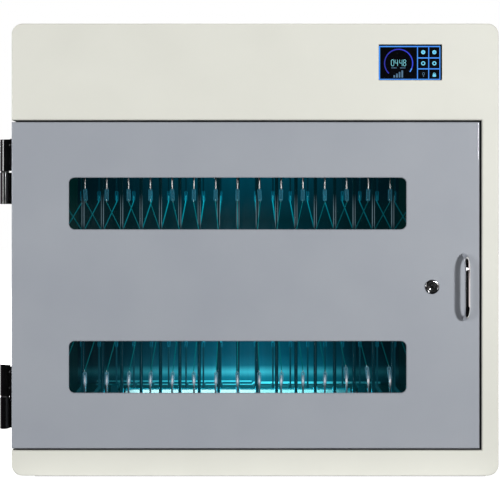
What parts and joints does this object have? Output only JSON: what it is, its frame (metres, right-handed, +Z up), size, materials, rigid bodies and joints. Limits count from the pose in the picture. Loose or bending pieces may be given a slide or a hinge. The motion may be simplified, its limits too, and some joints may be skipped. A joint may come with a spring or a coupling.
{
  "type": "device charging cabinet",
  "caption": "Free-standing steel cabinet with a hinged windowed door, wire-strung slots, a floor lamp, charging sockets, a cam lock and a control display.",
  "frame": {"origin": "middle of the underside of the overall box", "axes": "+Z up, the door faces -Y, the hinges are on the -X side"},
  "size_m": [0.7534, 0.5292, 0.678],
  "materials": {
    "cream_paint": "fine-textured cream powder coat",
    "grey_paint": "satin blue-grey powder coat",
    "dark_paint": "matt dark powder coat",
    "lining_steel": "polished stainless sheet",
    "plated_steel": "zinc plated",
    "rod_steel": "bright drawn wire",
    "clear_sleeve": "clear soft vinyl",
    "glazing": "clear",
    "lamp_glass": "lit lamp tube",
    "lamp_metal": "drawn cap",
    "white_plastic": "moulded",
    "black_plastic": "moulded",
    "socket_metal": "plated contacts",
    "display_black": "black display glass",
    "module_metal": "folded case",
    "board_green": "solder mask",
    "black_hinge": "gloss black",
    "chrome": "polished",
    "screw_steel": "zinc plated",
    "seal_rubber": "black seal",
    "magnet": "sintered block"
  },
  "bodies": {
    "cabinet": {"front_frame": "cream_paint", "body_wrap": "cream_paint", "rear_panel": "cream_paint", "front_bulkhead": "dark_paint", "chamber_floor": "lining_steel", "chamber_ceiling": "lining_steel", "chamber_left_wall": "lining_steel", "chamber_right_wall": "lining_steel", "chamber_back_wall": "lining_steel", "base_channels": "plated_steel", "hinge_pins": "plated_steel", "board_standoffs": "plated_steel", "divider_mid_rods": "rod_steel", "divider_posts": "rod_steel", "divider_wires": "rod_steel", "divider_runners": "rod_steel", "post_sleeves": "clear_sleeve", "lamp_tube": "lamp_glass", "lamp_end_caps": "lamp_metal", "door_switch": "white_plastic", "charging_strip": "black_plastic", "fan_frame": "black_plastic", "power_inlet": "black_plastic", "display_bracket": "black_plastic", "lamp_holders": "black_plastic", "hinge_washers": "black_plastic", "charging_ports": "socket_metal", "inlet_pins": "socket_metal", "display_glass": "display_black", "display_module": "module_metal", "power_supply": "module_metal", "charger_modules": "module_metal", "lamp_ballast": "module_metal", "control_board": "board_green", "hinge_body_leaves": "black_hinge", "hinge_body_screws": "black_hinge", "rear_panel_screws": "screw_steel", "fan_screws": "screw_steel", "door_gasket": "seal_rubber"},
    "door": {"door_panel": "grey_paint", "door_inner_panel": "grey_paint", "upper_window": "glazing", "lower_window": "glazing", "window_frames": "seal_rubber", "handle": "chrome", "handle_screws": "screw_steel", "lock_housing": "chrome", "lock_nut": "plated_steel", "hinge_door_leaves": "black_hinge", "hinge_door_screws": "black_hinge", "door_magnet": "magnet"},
    "lock": {"lock_plug": "chrome", "lock_cam": "plated_steel", "cam_screw": "plated_steel"},
    "fan": {"fan_rotor": "black_plastic"}
  },
  "joints": [
    {"name": "door_swing", "type": "hinge", "parent": "cabinet", "child": "door", "pos_m": [-0.36925, -0.2121, 0.2857], "axis": [0, 0, -1], "range_deg": [0, 170]},
    {"name": "lock_turn", "type": "hinge", "parent": "door", "child": "lock", "pos_m": [0.27655, -0.2376, 0.2834], "axis": [0, 1, 0], "range_deg": [0, 90]},
    {"name": "fan_spin", "type": "hinge", "parent": "cabinet", "child": "fan", "pos_m": [0.24175, 0.2484, 0.593], "axis": [0, 1, 0], "continuous": true}
  ]
}
